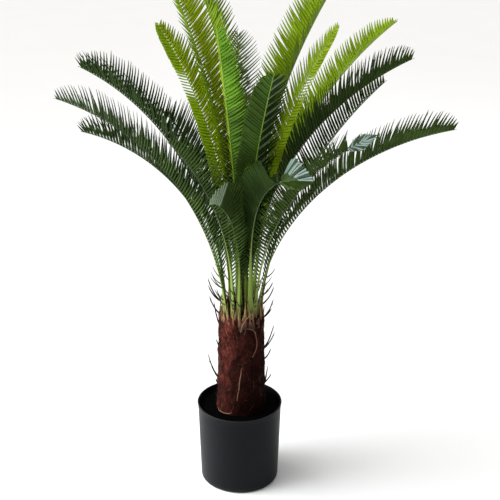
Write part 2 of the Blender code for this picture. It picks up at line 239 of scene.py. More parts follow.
# The pot: one thin tapering cup of matt black plastic, injection moulded with a small rolled
# lip, a rounded foot and a shallow recess underneath. The plug and the trunk stand in it.
POT_HEIGHT = 0.150
RIM_RADIUS = 0.075
RIM_DEPTH = 0.016
MOUTH_RADIUS = 0.0738
FLARE_OUT = RIM_RADIUS - MOUTH_RADIUS
BASE_RADIUS = 0.0692
WALL = 0.0025
POT_FLOOR = 0.004
INNER_ROUND = 0.004
FOOT_ROUND = 0.005
LIP_INSIDE = 0.0007
LIP_OUTSIDE = 0.0009
HEIGHTS_INSIDE = (0.04, 0.08, 0.12, 0.134, 0.140, 0.145)
HEIGHTS_OUTSIDE = (0.1465, 0.144, 0.141, 0.138, 0.134, 0.12, 0.10, 0.07, 0.04, 0.015)
RECESS = ((0.0600, 0.0), (0.0594, 0.0003), (0.0588, 0.0008), (0.0, 0.0008))
POT_SIDES = 144


def arc(centre, radius, start, end, segments):
    """Points of a circular arc in the profile plane, angles in degrees."""
    turns = [math.radians(start + (end - start) * i / segments) for i in range(segments + 1)]
    return [(centre[0] + radius * math.cos(a), centre[1] + radius * math.sin(a)) for a in turns]


def wall_radius(height):
    """Outer radius of the pot's wall, which flares softly towards its rim."""
    flare = max(0.0, (height - POT_HEIGHT + RIM_DEPTH) / RIM_DEPTH) ** 2
    return BASE_RADIUS + (MOUTH_RADIUS - BASE_RADIUS) * height / POT_HEIGHT + FLARE_OUT * flare


def ring_faces(start, rows, sides, flip=False):
    """Faces that join each ring of points to the next: from point start, this many rows."""
    faces = []
    for row in range(rows):
        a = start + row * sides
        b = a + sides
        for i in range(sides):
            j = (i + 1) % sides
            faces.append((a + i, b + i, b + j, a + j) if flip else (a + i, a + j, b + j, b + i))
    return faces


def pot_finish():
    """Black plastic with a fine grain, dulled by dust and wear at its lip and foot."""
    material, place, shader = new_finish("pot_plastic")
    cloud = place.spots(14.0, 3.0, 0.6)
    streaks = place.stretched((60.0, 60.0, 6.0)).spots(3.0, 4.0, 0.6)
    grain = place.spots(2600.0, 2.0)
    dust = place.spots(420.0, 4.0, 0.7).ramp(0.62, 0.80)
    height = place.axis("Z")
    lip = height.ramp(POT_HEIGHT - 0.0012, POT_HEIGHT + 0.0002)
    foot = 1.0 - height.ramp(0.001, 0.012)
    worn = (lip * 0.55 + foot * 0.35 + dust * 0.30) * (0.5 + cloud * 0.8)
    body = streaks.between((0.0009, 0.0016, 0.0026), (0.0024, 0.0037, 0.0054))
    varied = {
        "Base Color": worn.between(body, (0.040, 0.041, 0.040)),
        "Roughness": 0.37 + cloud * 0.12 + dust * 0.15 + grain * 0.06,
        "Normal": (grain * 0.5 + streaks * 0.2 + cloud * 0.3).bump(0.22, 0.0004),
    }
    return dress(material, place, shader, varied, 0.11)


inside = wall_radius(POT_FLOOR) - WALL - INNER_ROUND
profile = [(0.0, POT_FLOOR), (inside, POT_FLOOR)]
inside = wall_radius(POT_FLOOR + INNER_ROUND) - WALL - INNER_ROUND
profile += arc((inside, POT_FLOOR + INNER_ROUND), INNER_ROUND, -90, 0, 6)
profile += [(wall_radius(h) - WALL, h) for h in HEIGHTS_INSIDE]
profile += arc((RIM_RADIUS - WALL + LIP_INSIDE, POT_HEIGHT - LIP_INSIDE), LIP_INSIDE, 180, 90, 5)
profile += arc((RIM_RADIUS - LIP_OUTSIDE, POT_HEIGHT - LIP_OUTSIDE), LIP_OUTSIDE, 90, 0, 7)
profile += [(wall_radius(h), h) for h in HEIGHTS_OUTSIDE]
profile += arc((wall_radius(FOOT_ROUND) - FOOT_ROUND, FOOT_ROUND), FOOT_ROUND, 0, -90, 9)
profile += RECESS
points = [spot for radius, height in profile for spot in ring_points(radius, height, POT_SIDES)]
faces = ring_faces(0, len(profile) - 1, POT_SIDES, flip=True)
pot = add_piece("pot_shell", points, faces, [pot_finish()])
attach(pot, "root")
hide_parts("pot")


# The plug: black cement with a coarse crust, cast in the pot to about 8 mm below its rim. It
# weighs the plant down and holds the trunk.
FILL_TOP = 0.142
PLUG_FOOT = 0.0045
PLUG_GAP = 0.0003
PLUG_EDGE_DROP = 0.0008
PLUG_RINGS = 40


def plug_finish():
    """Dull black crumbs and clods, deepened to near zero as painted shade for the dark inside of the
    pot.
    """
    material, place, shader = new_finish("plug_crust")
    crumbs = place.spots(900.0, 4.0, 0.7)
    clods = place.spots(160.0, 3.0, 0.6)
    varied = {
        # Partly painted shade: darker than real black, so the plug also reads as the shaded inside of
        # the pot.
        "Base Color": crumbs.between((0.0003, 0.0003, 0.0003), (0.0012, 0.0011, 0.0010)),
        "Roughness": 0.80 + crumbs * 0.18,
        "Normal": (crumbs * 0.5 + clods * 0.5).bump(0.8, 0.001),
    }
    return dress(material, place, shader, varied, 0.02)


def plug_height(x, y):
    """Height of the plug's uneven top."""
    spot = Vector((x, y, 0))
    return FILL_TOP - 0.0004 + 0.0011 * noise.noise(spot * 90) + 0.0006 * noise.noise(spot * 420)


plug_radius = wall_radius(FILL_TOP) - WALL - PLUG_GAP
points = [Vector((0, 0, plug_height(0, 0)))]
for ring in range(1, PLUG_RINGS + 1):
    drop = PLUG_EDGE_DROP if ring == PLUG_RINGS else 0.0
    for x, y, _ in ring_points(plug_radius * ring / PLUG_RINGS, 0.0, POT_SIDES):
        points.append(Vector((x, y, plug_height(x, y) - drop)))
points += ring_points(wall_radius(PLUG_FOOT) - WALL - PLUG_GAP, PLUG_FOOT, POT_SIDES)
faces = [(0, 1 + i, 1 + (i + 1) % POT_SIDES) for i in range(POT_SIDES)]
faces += ring_faces(1, PLUG_RINGS, POT_SIDES, flip=True)
faces.append(tuple(1 + PLUG_RINGS * POT_SIDES + i for i in reversed(range(POT_SIDES))))
plug = add_piece("plug_top", points, faces, [plug_finish()])
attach(plug, "root")
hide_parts("pot_fill")


# The trunk: a rigid core with a coat of matted coconut fibre glued round it in three lengths,
# each a little proud at its upper edge. Its top is a low mound that the fronds are set in.
TRUNK_X = 0.003
TRUNK_FOOT = FILL_TOP + 0.0003
FOOT_RADIUS = 0.0445
FLARE = 0.0015
SHOULDER_RADIUS = 0.0360
SHOULDER = 0.325
SKIN = 0.0028
BAND_TOPS = (0.192, 0.252, 0.300)
LAP = 0.0007
LAP_REACH = 0.004
COAT_SINK = 0.0009
LUMPS = ((0.0018, 2.1), (0.0009, 6.3), (0.0004, 19.0))
LUMP_HEIGHT = 0.042
MOUND = 0.020
COAT_SIDES = 220
COAT_ROWS = 150
MOUND_RINGS = 14


def trunk_radius(height):
    """Outer radius of the wrapped trunk: a straight taper with a slight foot flare."""
    share = (height - TRUNK_FOOT) / (SHOULDER - TRUNK_FOOT)
    flare = FLARE * max(0.0, 1.0 - share * 6.0) ** 2
    return FOOT_RADIUS - FLARE + flare + (SHOULDER_RADIUS + SKIN - FOOT_RADIUS + FLARE) * share


def around(azimuth, radius, height):
    """A point at an azimuth in degrees and a radius about the trunk's own axis."""
    a = math.radians(azimuth)
    return Vector((TRUNK_X + radius * math.cos(a), radius * math.sin(a), height))


def mat_radius(azimuth, height):
    """Radius of the fibre coat's uneven outside."""
    a = math.radians(azimuth)
    spot = Vector((math.cos(a), math.sin(a), height / LUMP_HEIGHT))
    lumps = sum(depth * noise.noise(spot * rate) for depth, rate in LUMPS)
    lap = max(0.0, max(1.0 - abs(height - top) / LAP_REACH for top in BAND_TOPS))
    return trunk_radius(height) - COAT_SINK + lumps + LAP * lap


def coir_finish(name, dark, light, gloss):
    """Matted coconut fibre: hair-fine streaks both ways, with dark hollows and paler tufts. It
    is darker towards +X, the side away from the window, as painted shade, and also darker
    towards its foot."""
    material, place, shader = new_finish(name)
    along = place.stretched((900.0, 900.0, 110.0)).spots(1.0, 3.0, 0.65, 0.6)
    aslant = place.stretched((240.0, 240.0, 900.0)).spots(1.0, 3.0, 0.65, 0.8)
    patches = place.stretched((60.0, 60.0, 34.0)).spots(1.0, 4.0, 0.65, 0.5)
    hairs = along * 0.6 + aslant * 0.4
    low = 1.0 - place.axis("Z").ramp(0.160, 0.290)
    # Painted shade: darker towards +X, the side away from the window; the low term also darkens the
    # foot.
    painted_shade_and_dark_foot = (place.axis("X") + low * 0.012).ramp(-0.032, 0.032) * 0.64 + low * 0.30
    tone = (hairs * 0.60 + patches * 0.70).ramp(0.46, 0.88) * (1.0 - painted_shade_and_dark_foot)
    varied = {
        "Base Color": tone.between(dark, light),
        "Roughness": 0.70 + hairs * 0.25,
        "Normal": (hairs * 0.8 + patches * 0.4).bump(0.9, 0.0012),
    }
    return dress(material, place, shader, varied, gloss)


def tip_faces(ring, sides, tip):
    """Faces that close a ring of points, from its first one, to a single point."""
    return [(ring + k, ring + (k + 1) % sides, tip) for k in range(sides)]


points = []
azimuths = [360.0 * i / COAT_SIDES for i in range(COAT_SIDES)]
for row in range(COAT_ROWS + 1):
    height = TRUNK_FOOT + 0.0002 + (SHOULDER - TRUNK_FOOT) * row / COAT_ROWS
    points += [around(a, mat_radius(a, height), height) for a in azimuths]
for ring in range(1, MOUND_RINGS):
    share = ring / MOUND_RINGS
    for i, azimuth in enumerate(azimuths):
        edge = mat_radius(azimuth, SHOULDER)
        rise = MOUND * math.sin(share * math.pi / 2)
        rise += 0.002 * noise.noise(Vector((i * 0.2, share * 9, 0)))
        points.append(around(azimuth, edge * (1 - share), SHOULDER + rise * share ** 0.3))
points.append(around(0.0, 0.0, SHOULDER + MOUND))
rows = COAT_ROWS + MOUND_RINGS - 1
faces = ring_faces(0, rows, COAT_SIDES)
faces += tip_faces(rows * COAT_SIDES, COAT_SIDES, len(points) - 1)
faces.append(tuple(reversed(range(COAT_SIDES))))
coir = coir_finish("coir_mat", (0.0045, 0.0008, 0.0005), (0.170, 0.036, 0.026), 0.03)
trunk = add_piece("trunk_coat", points, faces, [coir])
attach(trunk, "root")
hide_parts("trunk", "coir_band_low", "coir_band_middle", "coir_band_high")


# The loose fibres of that coat: thousands of fine coconut hairs that lie across each other on
# it, some of them springing free at the outline.
LYING_HAIRS = 4200
LOOSE_HAIRS = 1500
LYING_KNOTS = 6
COAT_RADIUS = 0.041

dice = random.Random(11)


def add_tube(points, faces, path, radii, sides=3):
    """A thin tapering tube along a path, pointed at its end."""
    start = len(points)
    turn = Vector((0.31, 0.17, 0.93))
    for index, spot in enumerate(path[:-1]):
        ahead = (path[index + 1] - path[max(0, index - 1)]).normalized()
        aside = ahead.cross(turn).normalized()
        upward = aside.cross(ahead)
        for k in range(sides):
            a = math.tau * k / sides
            points.append(spot + (aside * math.cos(a) + upward * math.sin(a)) * radii[index])
    points.append(path[-1])
    faces += ring_faces(start, len(path) - 2, sides)
    faces += tip_faces(start + (len(path) - 2) * sides, sides, len(points) - 1)


def add_lying_hair(points, faces):
    """A hair that lies on the coat: both ends are tucked in and its middle stands clear."""
    azimuth, height = dice.uniform(0, 360), dice.uniform(TRUNK_FOOT + 0.002, SHOULDER - 0.002)
    length, slant = dice.uniform(0.008, 0.030), dice.gauss(0.0, 0.65)
    bow, lift = dice.gauss(0.0, 0.5), dice.uniform(0.0003, 0.0012)
    path = []
    for k in range(LYING_KNOTS):
        share = k / (LYING_KNOTS - 1)
        heading = slant + bow * (share - 0.5)
        level = height + length * (share - 0.5) * math.cos(heading)
        level = min(max(level, TRUNK_FOOT + 0.0005), SHOULDER)
        turn = azimuth + math.degrees(length * (share - 0.5) * math.sin(heading) / COAT_RADIUS)
        stand = lift * math.sin(share * math.pi) - 0.0002
        path.append(around(turn, mat_radius(turn, level) + stand, level))
    width = dice.uniform(0.00012, 0.00026)
    add_tube(points, faces, path, [width] * LYING_KNOTS)


def level_ways(azimuth):
    """The level directions away from the trunk's axis and round it."""
    outward = around(azimuth, 1.0, 0.0) - around(azimuth, 0.0, 0.0)
    return outward, Vector((-outward.y, outward.x, 0))


def add_loose_hair(points, faces):
    """A short hair that springs out of the coat."""
    azimuth, height = dice.uniform(0, 360), dice.uniform(TRUNK_FOOT + 0.004, SHOULDER)
    foot = around(azimuth, mat_radius(azimuth, height) - 0.0003, height)
    outward, sideways = level_ways(azimuth)
    reach = dice.uniform(0.002, 0.007)
    lean, drift = dice.gauss(0.5, 0.7), dice.gauss(0, 0.6)
    aim = (outward + Vector((0, 0, lean)) + sideways * drift).normalized()
    curl = Vector((dice.gauss(0, 0.25), dice.gauss(0, 0.25), dice.uniform(-0.1, 0.5)))
    path = [foot + (aim * s + curl * s * s) * reach for s in (0, 0.35, 0.7, 1.0)]
    add_tube(points, faces, path, [0.00016, 0.00014, 0.0001])


browns = [
    coir_finish("hair_dark", (0.008, 0.002, 0.0015), (0.040, 0.012, 0.008), 0.12),
    coir_finish("hair_russet", (0.024, 0.006, 0.004), (0.160, 0.042, 0.028), 0.08),
    coir_finish("hair_tan", (0.120, 0.050, 0.026), (0.300, 0.160, 0.090), 0.25),
]
points, faces, tints = [], [], []
for count, add_hair, weights in (
    (LYING_HAIRS, add_lying_hair, (9, 6, 0.5)),
    (LOOSE_HAIRS, add_loose_hair, (5, 4, 1)),
):
    for index in range(count):
        add_hair(points, faces)
        tints += dice.choices((0, 1, 2), weights) * (len(faces) - len(tints))
hairs = add_piece("coir_hairs", points, faces, browns, tints)
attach(hairs, "root")


# The stray fibres: stiff dark bristles of the coat that curl out and up from it, some forked,
# and a few pale threads that lie over it. A bristle is its azimuth, its foot's height and how
# far it reaches out and up. A thread is the azimuths and heights that it passes.
BRISTLES = (
    (186, 0.197, 0.019, 0.053, "forked"),
    (179, 0.197, 0.012, 0.024),
    (174, 0.180, 0.006, 0.011),
    (184, 0.301, 0.010, 0.046),
    (181, 0.320, 0.019, 0.036, "forked"),
    (176, 0.344, 0.022, 0.041),
    (183, 0.346, 0.020, 0.029),
    (192, 0.262, 0.006, 0.014),
    (357, 0.254, 0.019, 0.050),
    (3, 0.252, 0.020, 0.033),
    (350, 0.235, 0.014, 0.026, "forked"),
    (352, 0.183, 0.007, 0.042),
    (4, 0.183, 0.014, 0.022, "forked"),
    (355, 0.314, 0.018, 0.038, "forked"),
    (5, 0.312, 0.015, 0.017),
    (358, 0.339, 0.020, 0.036),
    (353, 0.358, 0.017, 0.024, "forked"),
    (60, 0.245, 0.018, 0.034, "forked"),
    (96, 0.296, 0.016, 0.036),
    (100, 0.188, 0.014, 0.030, "forked"),
    (122, 0.248, 0.012, 0.024),
    (140, 0.318, 0.017, 0.036),
    (40, 0.325, 0.016, 0.034, "forked"),
    (78, 0.336, 0.015, 0.032),
    (112, 0.330, 0.018, 0.036, "forked"),
    (70, 0.180, 0.010, 0.022),
    (215, 0.225, 0.007, 0.016),
    (318, 0.205, 0.006, 0.015),
    (278, 0.298, 0.010, 0.020),
)
THREADS = (
    ((309, 0.342), (298, 0.338), (286, 0.332), (274, 0.320), (267, 0.303)),
    ((281, 0.311), (292, 0.309), (302, 0.304), (309, 0.291), (311, 0.276), (306, 0.264), (296, 0.254)),
    ((270, 0.236), (269, 0.224), (266, 0.210), (265, 0.199), (262, 0.185), (260, 0.172)),
    ((200, 0.1445), (213, 0.1435), (228, 0.1435), (240, 0.1450), (249, 0.149)),
    ((126, 0.262), (120, 0.250), (123, 0.238), (118, 0.226)),
    ((20, 0.290), (31, 0.276), (36, 0.262), (34, 0.246)),
    ((104, 0.250), (98, 0.236), (101, 0.219), (108, 0.205)),
    ((150, 0.222), (157, 0.211), (155, 0.196), (161, 0.183)),
)
BRISTLE_WIDTH = 0.0016
BRISTLE_STEPS = 8
THREAD_WIDTH = 0.0010


def smooth_path(knots, steps):
    """Points of a smooth curve through the knots."""
    path = []
    padded = [knots[0] * 2 - knots[1], *knots, knots[-1] * 2 - knots[-2]]
    for index in range(1, len(padded) - 2):
        p, q, r, s = padded[index - 1:index + 3]
        for k in range(steps):
            t = k / steps
            path.append(0.5 * (2 * q + (r - p) * t + (2 * p - 5 * q + 4 * r - s) * t * t
                               + (3 * q - p - 3 * r + s) * t ** 3))
    return path + [knots[-1]]


def add_bristle(points, faces, azimuth, height, reach, rise, forked):
    """A stiff tapering fibre that starts outwards and curls upwards."""
    path, width = [], BRISTLE_WIDTH
    foot = around(azimuth, mat_radius(azimuth, min(height, SHOULDER)) - 0.0006, height)
    outward, sideways = level_ways(azimuth)
    wave = sideways * reach * dice.uniform(-0.25, 0.25)
    for k in range(BRISTLE_STEPS + 1):
        t = k / BRISTLE_STEPS
        out = reach * (1.25 * t - 0.25 * t * t) - 0.0008
        upward = Vector((0, 0, rise * (0.55 * t + 0.45 * t * t)))
        path.append(foot + outward * out + upward + wave * t * t)
    radii = [width * (1 - 0.50 * k / BRISTLE_STEPS) for k in range(BRISTLE_STEPS + 1)]
    add_tube(points, faces, path, radii, 5)
    if forked:
        for at, side in ((3, 1), (5, -1)):
            aim = (path[at + 1] - path[at]).normalized()
            away = (outward * 0.5 + Vector((0, 0, 0.9)) - wave * 20 * side).normalized()
            barb = [path[at] + (aim * (1 - s) + away * s) * s * reach * 0.55
                    for s in (0, 0.4, 0.7, 1)]
            add_tube(points, faces, barb, [width * 0.7, width * 0.6, width * 0.5], 4)


points, faces = [], []
for azimuth, height, reach, rise, *forked in BRISTLES:
    add_bristle(points, faces, azimuth, height, reach, rise, forked)
tints = [0] * len(faces)
for knots in THREADS:
    path = []
    for azimuth, height in knots:
        stand = 0.0035 if height > BAND_TOPS[2] else 0.0010
        radius = mat_radius(azimuth, min(height, SHOULDER)) + stand
        path.append(around(azimuth, radius, height))
    path = smooth_path(path, 5)
    bulges = [math.sin(math.pi * (k + 1) / (len(path) + 1)) for k in range(len(path))]
    add_tube(points, faces, path, [THREAD_WIDTH * (0.55 + 0.45 * bulge) for bulge in bulges], 5)
tints += [1] * (len(faces) - len(tints))
bristles = add_piece("stray_bristles", points, faces, [
    coir_finish("bristle_dark", (0.014, 0.007, 0.006), (0.042, 0.020, 0.014), 0.25),
    coir_finish("thread_pale", (0.130, 0.062, 0.034), (0.300, 0.170, 0.095), 0.25),
], tints)
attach(bristles, "root")


# The leaf scales: dry brown papery scales with frayed points, set in two rings round the
# fronds' feet, with tufts of long fibre packed between them. A ring is the number of its
# scales, their foot's height, how tall and wide they are, and how far they flare out.
SCALE_RINGS = (
    (26, 0.3060, 0.034, 0.0090, 0.0018),
    (21, 0.3090, 0.054, 0.0080, -0.0036),
)
SCALE_COLUMNS = 6
SCALE_ROWS = 8
COLLAR_RADIUS = 0.039
TUFT_FIBRES = 1500
TUFT_RADIUS = 0.031
TUFT_FOOT = 0.318
TUFT_RISE = 0.018


def scale_finish():
    """Papery fibre, brown below and turning yellowish green at the scales' points."""
    material, place, shader = new_finish("scale_fibre")
    ribs = place.stretched((700.0, 700.0, 60.0)).spots(1.0, 3.0, 0.6)
    blotches = place.spots(120.0, 3.0)
    height = place.axis("Z")
    fresh = (height + blotches * 0.010).ramp(0.322, 0.342)
    low = 1.0 - (height + blotches * 0.008).ramp(0.314, 0.328)
    papery = ribs.between((0.060, 0.024, 0.012), (0.300, 0.150, 0.066))
    brown = low.between(papery, ribs.between((0.010, 0.003, 0.002), (0.075, 0.024, 0.014)))
    varied = {
        "Base Color": (fresh * 0.7).between(brown, (0.240, 0.190, 0.070)),
        "Roughness": 0.60 + ribs * 0.25,
        "Normal": (ribs * 0.8 + blotches * 0.3).bump(0.7, 0.0008),
    }
    return dress(material, place, shader, varied, 0.3)


def add_scale(points, faces, azimuth, foot, tall, wide, flare):
    """A cupped pointed scale whose foot is under the coat's upper edge."""
    start = len(points)
    bend = dice.uniform(-0.22, 0.22)
    for row in range(SCALE_ROWS + 1):
        share = row / SCALE_ROWS
        breadth = wide * (1.0 - share ** 1.6) * (1.0 - 0.15 * share)
        fray = dice.uniform(0.85, 1.1) if share > 0.3 else 1.0
        for column in range(SCALE_COLUMNS + 1):
            side = column / SCALE_COLUMNS * 2 - 1
            height = foot + tall * share - 0.10 * tall * abs(side) * share
            radius = trunk_radius(min(height, SHOULDER)) - 0.0004
            radius = radius + flare * share ** 2 - 0.0016 * side * side
            turn = (breadth * fray * side / 2 + bend * tall * share) / COLLAR_RADIUS
            points.append(around(azimuth + math.degrees(turn), radius, height))
    for row in range(SCALE_ROWS):
        for column in range(SCALE_COLUMNS):
            a = start + row * (SCALE_COLUMNS + 1) + column
            faces.append((a, a + 1, a + SCALE_COLUMNS + 2, a + SCALE_COLUMNS + 1))


points, faces = [], []
for ring, (count, level, tall, wide, flare) in enumerate(SCALE_RINGS):
    for index in range(count):
        azimuth = 360.0 * (index + 0.5 * ring + dice.uniform(-0.25, 0.25)) / count
        height = tall * dice.uniform(0.40, 1.15)
        foot = level + dice.uniform(-0.007, 0.005)
        add_scale(points, faces, azimuth, foot, height, wide * dice.uniform(0.7, 1.3), flare)
scales = add_piece("leaf_scale_collar", points, faces, [scale_finish()])
shell = scales.modifiers.new("paper_thickness", "SOLIDIFY")
shell.thickness = 0.0006
shell.offset = -1
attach(scales, "root")
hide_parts("leaf_scales")

points, faces, tints = [], [], []
for index in range(TUFT_FIBRES):
    azimuth = dice.uniform(0, 360)
    radius = TUFT_RADIUS * math.sqrt(dice.uniform(0.0, 1.0))
    height = TUFT_FOOT + TUFT_RISE * (1 - (radius / COLLAR_RADIUS) ** 2)
    outward, sideways = level_ways(azimuth)
    sideways *= dice.gauss(0, 0.35)
    tall = dice.uniform(0.006, 0.058 - 1.1 * radius)
    splay = dice.uniform(0.0, 0.35) * radius / COLLAR_RADIUS
    foot = around(azimuth, radius, height)
    path = []
    for s in (0, 0.3, 0.6, 1):
        path.append(foot + (outward * splay * s * s + sideways * s * s + Vector((0, 0, s))) * tall)
    add_tube(points, faces, path, [0.00032, 0.00028, 0.0002])
    tints += dice.choices((0, 1, 2), (4, 5, 2)) * (len(faces) - len(tints))
tufts = add_piece("fibre_tufts", points, faces, browns, tints)
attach(tufts, "root")


# The fronds: moulded soft plastic on a wire core, pushed into the trunk's top. Each has a broad
# petiole that narrows to a fine rib, and two rows of narrow leaflets that fan forward.
RINGS = {"outer": (0.031, 0.325), "middle": (0.019, 0.333), "inner": (0.008, 0.341)}
RIB_SAMPLES = 160
RIB_SIDES = 12
BARE = 0.055
PETIOLE = 0.13
PETIOLE_WIDTH = {"outer": 0.0112, "middle": 0.0090, "inner": 0.0080}
PETIOLE_THICKNESS = 0.0042
PETIOLE_STEPS = 14
RACHIS_WIDTH = 0.0032
RACHIS_END_WIDTH = 0.0014
RACHIS_THICKNESS = 0.0026
RACHIS_END_THICKNESS = 0.0010
RACHIS_STEPS = 44
SHEATH = 0.50
SHEATH_END = 0.12
LEAFLET_LENGTH = 0.064
LEAFLET_WIDTH = 0.0038
LEAFLET_THICKNESS = 0.0005
LEAFLET_PITCH = 0.0054
LAST_LEAFLET = 0.99
TWIST_LEAD = 0.08
TWIST_RUN = 0.12

# Angles in degrees and lengths in metres. Foot and heading are azimuths, and sweep turns the
# heading along the rib. Lean and tip_lean are from upright, and a high bend keeps the curve near
# the tip. The pairs are for the leaflets left and right of the rib: reach is their length, fold
# how far they stand up from the flat, full their breadth, and a high taper keeps them long until
# near the tip. Each third leaflet of a striped row is pale, as painted highlight stripes, and the
# end of a tipped row is pale, as a painted highlight. Two tips are twisted: past the waist the
# blade is turned by an angle, and its leaflets have a reach, a fan and tints of their own, with
# dark feet or not; their pale tints paint a sheen on the twist.
Frond = namedtuple(
    "Frond", "name ring foot heading length lean tip_lean bend sweep reach fold full tints taper twist",
    defaults=((12, 12), None))
Twist = namedtuple("Twist", "angle waist reach fan tints dark_foot")
LIGHT = ("lime", "olive", "fresh", "emerald")
# Most fronds on the right have the lighter moss tint where those on the left have deep: painted light
# that lifts the right side of the crown, which faces away from the window.
FRONDS = (
    Frond("frond_left_low", "outer", 202, 190, 0.428, 2, 80, 1.29, -18,
        (0.9, 0.9), (58, 48), (0.85, 0.85), ("deep", "deep"), (16, 16)),
    Frond("frond_left_middle", "outer", 221, 181, 0.497, 7, 69, 1.23, 13,
        (0.8, 0.85), (44, 52), (0.62, 0.68), ("moss", "slate")),
    Frond("frond_left_high", "outer", 161, 149, 0.518, -1, 72, 1.03, 8,
        (1.0, 1.0), (64, 45), (1.05, 1.0), ("deep", "deep"), (16, 16)),
    Frond("frond_right_low", "outer", 342, 353, 0.492, -1, 77, 0.8, -5,
        (0.85, 0.8), (50, 55), (0.92, 0.86), ("moss", "moss"), (16, 16)),
    Frond("frond_right_middle", "outer", 4, 34, 0.458, 6, 53, 0.8, -14,
        (0.9, 0.5), (50, 45), (0.85, 0.85), ("moss", "moss")),
    Frond("frond_right_high", "middle", 13, 15.3, 0.529, -6, 65.3, 0.9, -16,
        (0.85, 0.9), (50, 64), (0.8, 0.8), ("moss", "moss"), (16, 16)),
    Frond("frond_front_left", "outer", 239, 215, 0.36, -4, 44, 1.0, 0,
        (0.9, 0.9), (40, 45), (0.75, 0.75), ("moss", "deep")),
    Frond("frond_front_right", "outer", 320, 328, 0.41, 0, 60, 1.0, 0,
        (0.8, 0.8), (40, 40), (1.0, 1.0), ("moss", "moss"), (12, 12),
        Twist(70, 0.91, 0.34, (55, 55), ("frost", "frost"), False)),
    Frond("frond_front_arch", "outer", 258, 225, 0.278, -4, 86, 2.32, 20,
        (1.0, 0.8), (65, 85), (1.5, 1.4), ("tipped", "moss"), (7, 3)),
    Frond("frond_front_twisted", "outer", 299, 270, 0.339, -1.8, 79.7, 1.96, 38.8,
        (0.45, 0.85), (60, 60), (1.6, 1.8), ("moss", "deep"), (12, 12),
        Twist(80, 0.90, 0.80, (58, 34), ("frost", "moss"), True)),
    Frond("frond_back_right", "outer", 50, 60, 0.43, 3, 80, 1.0, 0,
        (1.0, 1.0), (50, 50), (0.9, 0.9), ("deep", "deep")),
    Frond("frond_back", "outer", 85, 92, 0.45, 3, 82, 1.0, 0,
        (1.0, 1.0), (50, 50), (0.9, 0.9), ("deep", "moss")),
    Frond("frond_back_left", "outer", 122, 118, 0.42, 3, 84, 1.0, 0,
        (1.0, 1.0), (50, 50), (0.9, 0.9), ("deep", "deep")),
    Frond("frond_heart_front", "middle", 300, 303, 0.444, -6, 30, 0.89, -14,
        (0.75, 0.55), (15, 30), (1.25, 1.7), ("striped", "mid")),
    Frond("frond_heart_back", "inner", 80, 100, 0.456, 0, 12, 1.0, 0,
        (0.9, 0.9), (45, 45), (0.72, 0.72), ("sage", "sage")),
    Frond("frond_heart_left", "middle", 267, 209, 0.488, 0, 10, 0.8, 16,
        (0.62, 0.3), (25, 25), (1.35, 1.2), ("emerald", "lime")),
    Frond("frond_young_left_low", "middle", 158, 151, 0.502, -2, 32, 1.15, 30,
        (0.33, 1.05), (-35, 50), (2.2, 1.2), ("lime", "olive"), (25, 5)),
    Frond("frond_young_left_middle", "inner", 155, 150, 0.57, 0, 30, 1.2, 0,
        (0.6, 1.05), (15, 50), (1.2, 1.15), ("lime", "olive")),
    Frond("frond_young_left_high", "inner", 212, 172, 0.549, 0.5, 24, 2.7, -5,
        (0.95, 0.85), (45, 50), (1.15, 1.1), ("fresh", "fresh")),
    Frond("frond_young_right_high", "inner", 350, 25, 0.58, 1, 37, 1.2, 0,
        (0.95, 0.95), (55, 45), (1.35, 1.35), ("lime", "fresh")),
    Frond("frond_young_right_middle", "middle", 335, 10, 0.513, -4, 31.4, 0.81, -35,
        (0.85, 0.34), (50, -35), (1.2, 2.2), ("lime", "lime"), (6, 25)),
    Frond("frond_young_right_low", "middle", 59, 36, 0.569, 7, 60.8, 1.02, -7,
        (0.7, 0.7), (50, 50), (1.2, 1.2), ("lime", "lime")),
)


def is_light(frond):
    """The young fronds are light, and so is the one that stands in front of them."""
    return frond.tints[0] in LIGHT


def clamp(value):
    """The value, kept within 0 and 1."""
    return min(1.0, max(0.0, value))


def rib_frames(frond, shares):
    """Position, direction and leaf-side normal of the rib at rising shares of its length."""
    radius, height = RINGS[frond.ring]
    spot = around(frond.foot, radius, height + 0.0003)
    wanted, frames = list(shares), []
    for step in range(RIB_SAMPLES + 1):
        share = step / RIB_SAMPLES
        lean = math.radians(frond.lean + (frond.tip_lean - frond.lean) * share ** frond.bend)
        heading = math.radians(frond.heading + frond.sweep * share)
        level = Vector((math.cos(heading), math.sin(heading), 0.0))
        upright = Vector((0.0, 0.0, 1.0))
        along = level * math.sin(lean) + upright * math.cos(lean)
        normal = upright * math.sin(lean) - level * math.cos(lean)
        across = along.cross(normal)
        if frond.twist:
            turn = clamp((share - frond.twist.waist + TWIST_LEAD) / TWIST_RUN)
            roll = math.radians(frond.twist.angle * turn * turn * (3.0 - 2.0 * turn))
            normal, across = (normal * math.cos(roll) + across * math.sin(roll),
                              across * math.cos(roll) - normal * math.sin(roll))
        while wanted and wanted[0] <= share + 0.5 / RIB_SAMPLES:
            lag = (wanted.pop(0) - share) * frond.length
            frames.append((spot + along * lag, along, normal, across))
        spot = spot + along * frond.length / RIB_SAMPLES
    return frames


def blade_share(frond, share):
    """How far along the leafy part of the rib this is, from 0 above the petiole to 1."""
    bare = BARE / frond.length
    return (share - bare) / (1.0 - bare)


def rib_section(frond, share):
    """Width and thickness of the rib: a broad petiole that narrows to a fine rachis."""
    foot_width = PETIOLE_WIDTH[frond.ring]
    slim = 1.0 - min(1.0, share * frond.length / PETIOLE)
    width = RACHIS_WIDTH + (RACHIS_END_WIDTH - RACHIS_WIDTH) * share
    thickness = RACHIS_THICKNESS + (RACHIS_END_THICKNESS - RACHIS_THICKNESS) * share
    width += (foot_width - RACHIS_WIDTH) * slim
    thickness += (PETIOLE_THICKNESS - RACHIS_THICKNESS) * slim
    return width, thickness


FOOT_REACH = 0.08
SWELL_END = 0.42
TIP_REACH = 0.12
WAIST_BELOW = 0.07
WAIST_ABOVE = 0.02
WAIST_PINCH = 0.8


